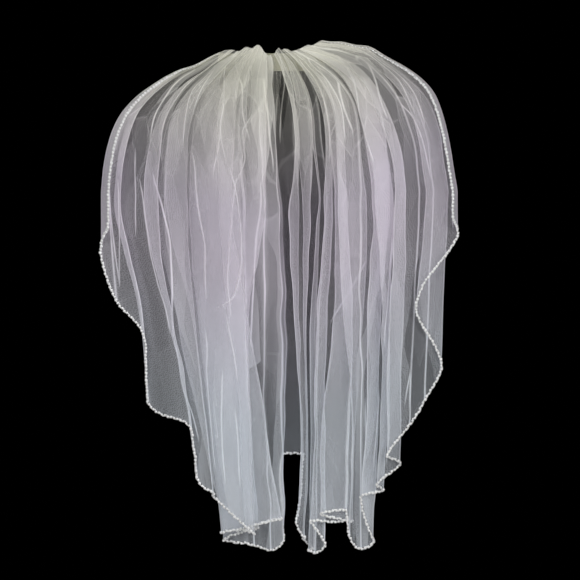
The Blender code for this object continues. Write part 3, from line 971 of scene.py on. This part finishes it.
def satin_painted_shade():
    """Woven polyester satin ribbon: long floats along it give a soft shine, over fine ribs. Its aged ivory is
    darkened further by painted shade.
    """
    finish, tree, shader = new_finish("satin_ribbon_painted_shade")
    where = add_node(tree, "ShaderNodeNewGeometry", {}, {})["Position"]
    weave_at = add_node(
        tree,
        "ShaderNodeMapping",
        {},
        {"Vector": where, "Scale": (1 / (3 * MM), 1.0, 1 / (0.35 * MM))},
    )[0]
    weave = add_node(
        tree, "ShaderNodeTexNoise", {}, {"Vector": weave_at, "Scale": 1.0, "Detail": 2.0}
    )[0]
    # Grey green ivory: the aged colour, made darker still as painted shade of a ribbon lying in shadow
    tint = add_node(
        tree,
        "ShaderNodeMix",
        {"data_type": "RGBA"},
        {0: weave, 6: linear("#8d8c78"), 7: linear("#a9a892")},
    )[2]
    tree.links.new(tint, shader.inputs["Base Color"])
    raised = add_node(
        tree, "ShaderNodeBump", {}, {"Strength": 0.25, "Distance": 0.1 * MM, "Height": weave}
    )[0]
    tree.links.new(raised, shader.inputs["Normal"])
    shader.inputs["Roughness"].default_value = 0.42
    shader.inputs["Sheen Weight"].default_value = 0.15
    return finish


def clear_plastic():
    """Moulded clear acrylic: smooth, with faint flow lines from the mould."""
    finish, tree, shader = new_finish("clear_acrylic")
    where = add_node(tree, "ShaderNodeNewGeometry", {}, {})["Position"]
    flow = add_node(
        tree, "ShaderNodeTexNoise", {}, {"Vector": where, "Scale": 1 / (6 * MM), "Detail": 2.0}
    )[0]
    gloss = add_node(
        tree,
        "ShaderNodeMapRange",
        {},
        {"Value": flow, "From Min": 0.3, "From Max": 0.7, "To Min": 0.08, "To Max": 0.2},
    )[0]
    tree.links.new(gloss, shader.inputs["Roughness"])
    shader.inputs["Base Color"].default_value = linear("#ecebe6")
    shader.inputs["Transmission Weight"].default_value = 0.9
    shader.inputs["IOR"].default_value = 1.49
    return finish


# ---------------------------------------------------------------- the veil

thread_finish = spun_thread()
surface = sheet_surface()
net = build_net(surface, ivory_tulle())
beads = build_beads(surface[0], pearl_beads())
edge_thread = build_edge_thread(surface[0], thread_finish)
ribbon = build_ribbon(satin_painted_shade())
comb_stitches = build_comb_stitches(thread_finish)

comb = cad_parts["hair_comb"]
comb.data.materials.clear()
comb.data.materials.append(clear_plastic())
softened = comb.modifiers.new("moulded_edges", "BEVEL")
softened.width = 0.25 * MM
softened.segments = 2

# ---------------------------------------------------------------- room, light and camera


def disc(name, radius, z, finish):
    turn = 2 * math.pi * np.arange(96) / 96
    points = np.column_stack((radius * np.cos(turn), radius * np.sin(turn), np.full(96, z)))
    mesh = bpy.data.meshes.new(name)
    mesh.from_pydata(points.tolist(), [], [tuple(range(96))])
    mesh.materials.append(finish)
    made = bpy.data.objects.new(name, mesh)
    bpy.context.scene.collection.objects.link(made)
    return made


floor_finish, _, floor_shader = new_finish("pale_painted_floor")
floor_shader.inputs["Base Color"].default_value = linear("#d8d6d2")
floor_shader.inputs["Roughness"].default_value = 0.8
disc("floor", FLOOR_RADIUS, -COMB_HEIGHT, floor_finish)

VEIL_MIDDLE = (0.03, -0.06, -0.37)
# name, azimuth and height of each lamp from the veil's middle, size, power and colour
LAMPS = (
    ("front_left", -30, 24, 1.6, 23, "#ffffff"),
    ("front_right", 36, 13, 1.6, 25, "#ffffff"),
    ("front_low", 2, -24, 1.2, 15, "#ffffff"),
    ("back_left", -145, 25, 1.4, 18, "#ffffff"),
    ("back_right", 145, 25, 1.4, 18, "#ffffff"),
)
LAMP_DISTANCE = 2.4
for name, azimuth, height, size, power, colour in LAMPS:
    lamp = bpy.data.lights.new(name, "AREA")
    lamp.shape = "DISK"
    lamp.size = size
    lamp.energy = power
    lamp.color = linear(colour)[:3]
    holder = bpy.data.objects.new(name, lamp)
    bpy.context.scene.collection.objects.link(holder)
    a, e = math.radians(azimuth), math.radians(height)
    way = np.array((math.sin(a) * math.cos(e), -math.cos(a) * math.cos(e), math.sin(e)))
    holder.location = np.array(VEIL_MIDDLE) + way * LAMP_DISTANCE
    holder.rotation_mode = "QUATERNION"
    direction = holder.location.copy()
    direction.x, direction.y, direction.z = (-way).tolist()
    holder.rotation_quaternion = direction.to_track_quat("-Z", "Y")

world = bpy.data.worlds.new("dark_room")
world.use_nodes = True
world.node_tree.nodes["Background"].inputs["Color"].default_value = (0.0, 0.0, 0.0, 1.0)
bpy.context.scene.world = world

# A long lens five metres away, level with the middle of the veil
PIXEL = 1.49 * MM
IMAGE_SIDE = 580
CAMERA_DISTANCE = 5.0
CAMERA_AT = (28.3 * MM, -5.09, -357.6 * MM)
camera_data = bpy.data.cameras.new("camera")
camera_data.sensor_width = 36.0
camera_data.lens = 36.0 * CAMERA_DISTANCE / (IMAGE_SIDE * PIXEL)
camera = bpy.data.objects.new("camera", camera_data)
camera.location = CAMERA_AT
camera.rotation_euler = (math.pi / 2, 0.0, 0.0)
bpy.context.scene.collection.objects.link(camera)
bpy.context.scene.camera = camera

scene = bpy.context.scene
scene.view_settings.view_transform = "Standard"
# Sight lines cross many layers of net
scene.cycles.transparent_max_bounces = 48
